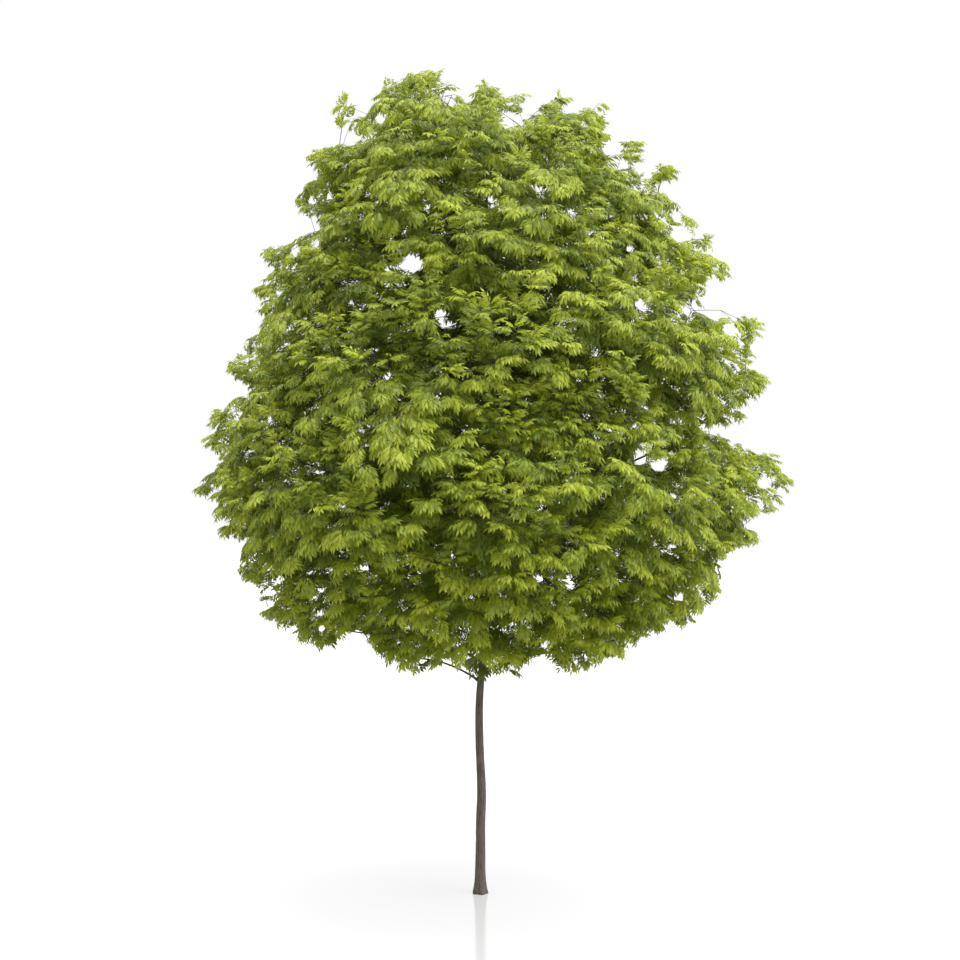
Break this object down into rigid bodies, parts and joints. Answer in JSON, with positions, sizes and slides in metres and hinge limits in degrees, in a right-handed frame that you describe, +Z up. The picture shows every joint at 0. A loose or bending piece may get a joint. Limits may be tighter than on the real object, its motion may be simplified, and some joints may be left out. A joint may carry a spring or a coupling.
{
  "type": "ash tree",
  "caption": "Young broadleaf tree with pinnate leaves, grown as a standard: a clear stem with a flared foot under a full, broadly oval crown.",
  "frame": {"origin": "centre of the flat cut under the trunk, at ground level", "axes": "+Z up along the trunk, -Y the front as seen, +X to the right seen from the front"},
  "size_m": [6.0174, 5.7538, 8.2511],
  "materials": {
    "bark": "matt grey-brown bark with fine upright fissures",
    "leaves": "satin yellow-green leaves, paler below"
  },
  "bodies": {
    "root": {"trunk": "bark", "bough_01": "bark", "bough_02": "bark", "bough_03": "bark", "bough_04": "bark", "bough_05": "bark", "bough_06": "bark", "bough_07": "bark", "bough_08": "bark", "bough_09": "bark", "bough_10": "bark", "bough_11": "bark", "bough_12": "bark", "bough_13": "bark", "bough_14": "bark", "bough_15": "bark", "bough_16": "bark", "bough_17": "bark", "bough_18": "bark", "bough_19": "bark", "bough_20": "bark", "bough_21": "bark", "bough_22": "bark", "bough_23": "bark", "bough_24": "bark", "bough_25": "bark", "bough_26": "bark", "foliage_01": "leaves", "foliage_02": "leaves", "foliage_03": "leaves", "foliage_04": "leaves", "foliage_05": "leaves", "foliage_06": "leaves", "foliage_07": "leaves", "foliage_08": "leaves", "foliage_09": "leaves", "foliage_10": "leaves", "foliage_11": "leaves", "foliage_12": "leaves", "foliage_13": "leaves", "foliage_14": "leaves", "foliage_15": "leaves", "foliage_16": "leaves", "foliage_17": "leaves", "foliage_18": "leaves", "foliage_19": "leaves", "foliage_20": "leaves", "foliage_21": "leaves", "foliage_22": "leaves", "foliage_23": "leaves", "foliage_24": "leaves", "foliage_25": "leaves", "foliage_26": "leaves", "foliage_27": "leaves", "foliage_28": "leaves", "foliage_29": "leaves", "foliage_30": "leaves", "foliage_31": "leaves", "foliage_32": "leaves"}
  },
  "joints": []
}
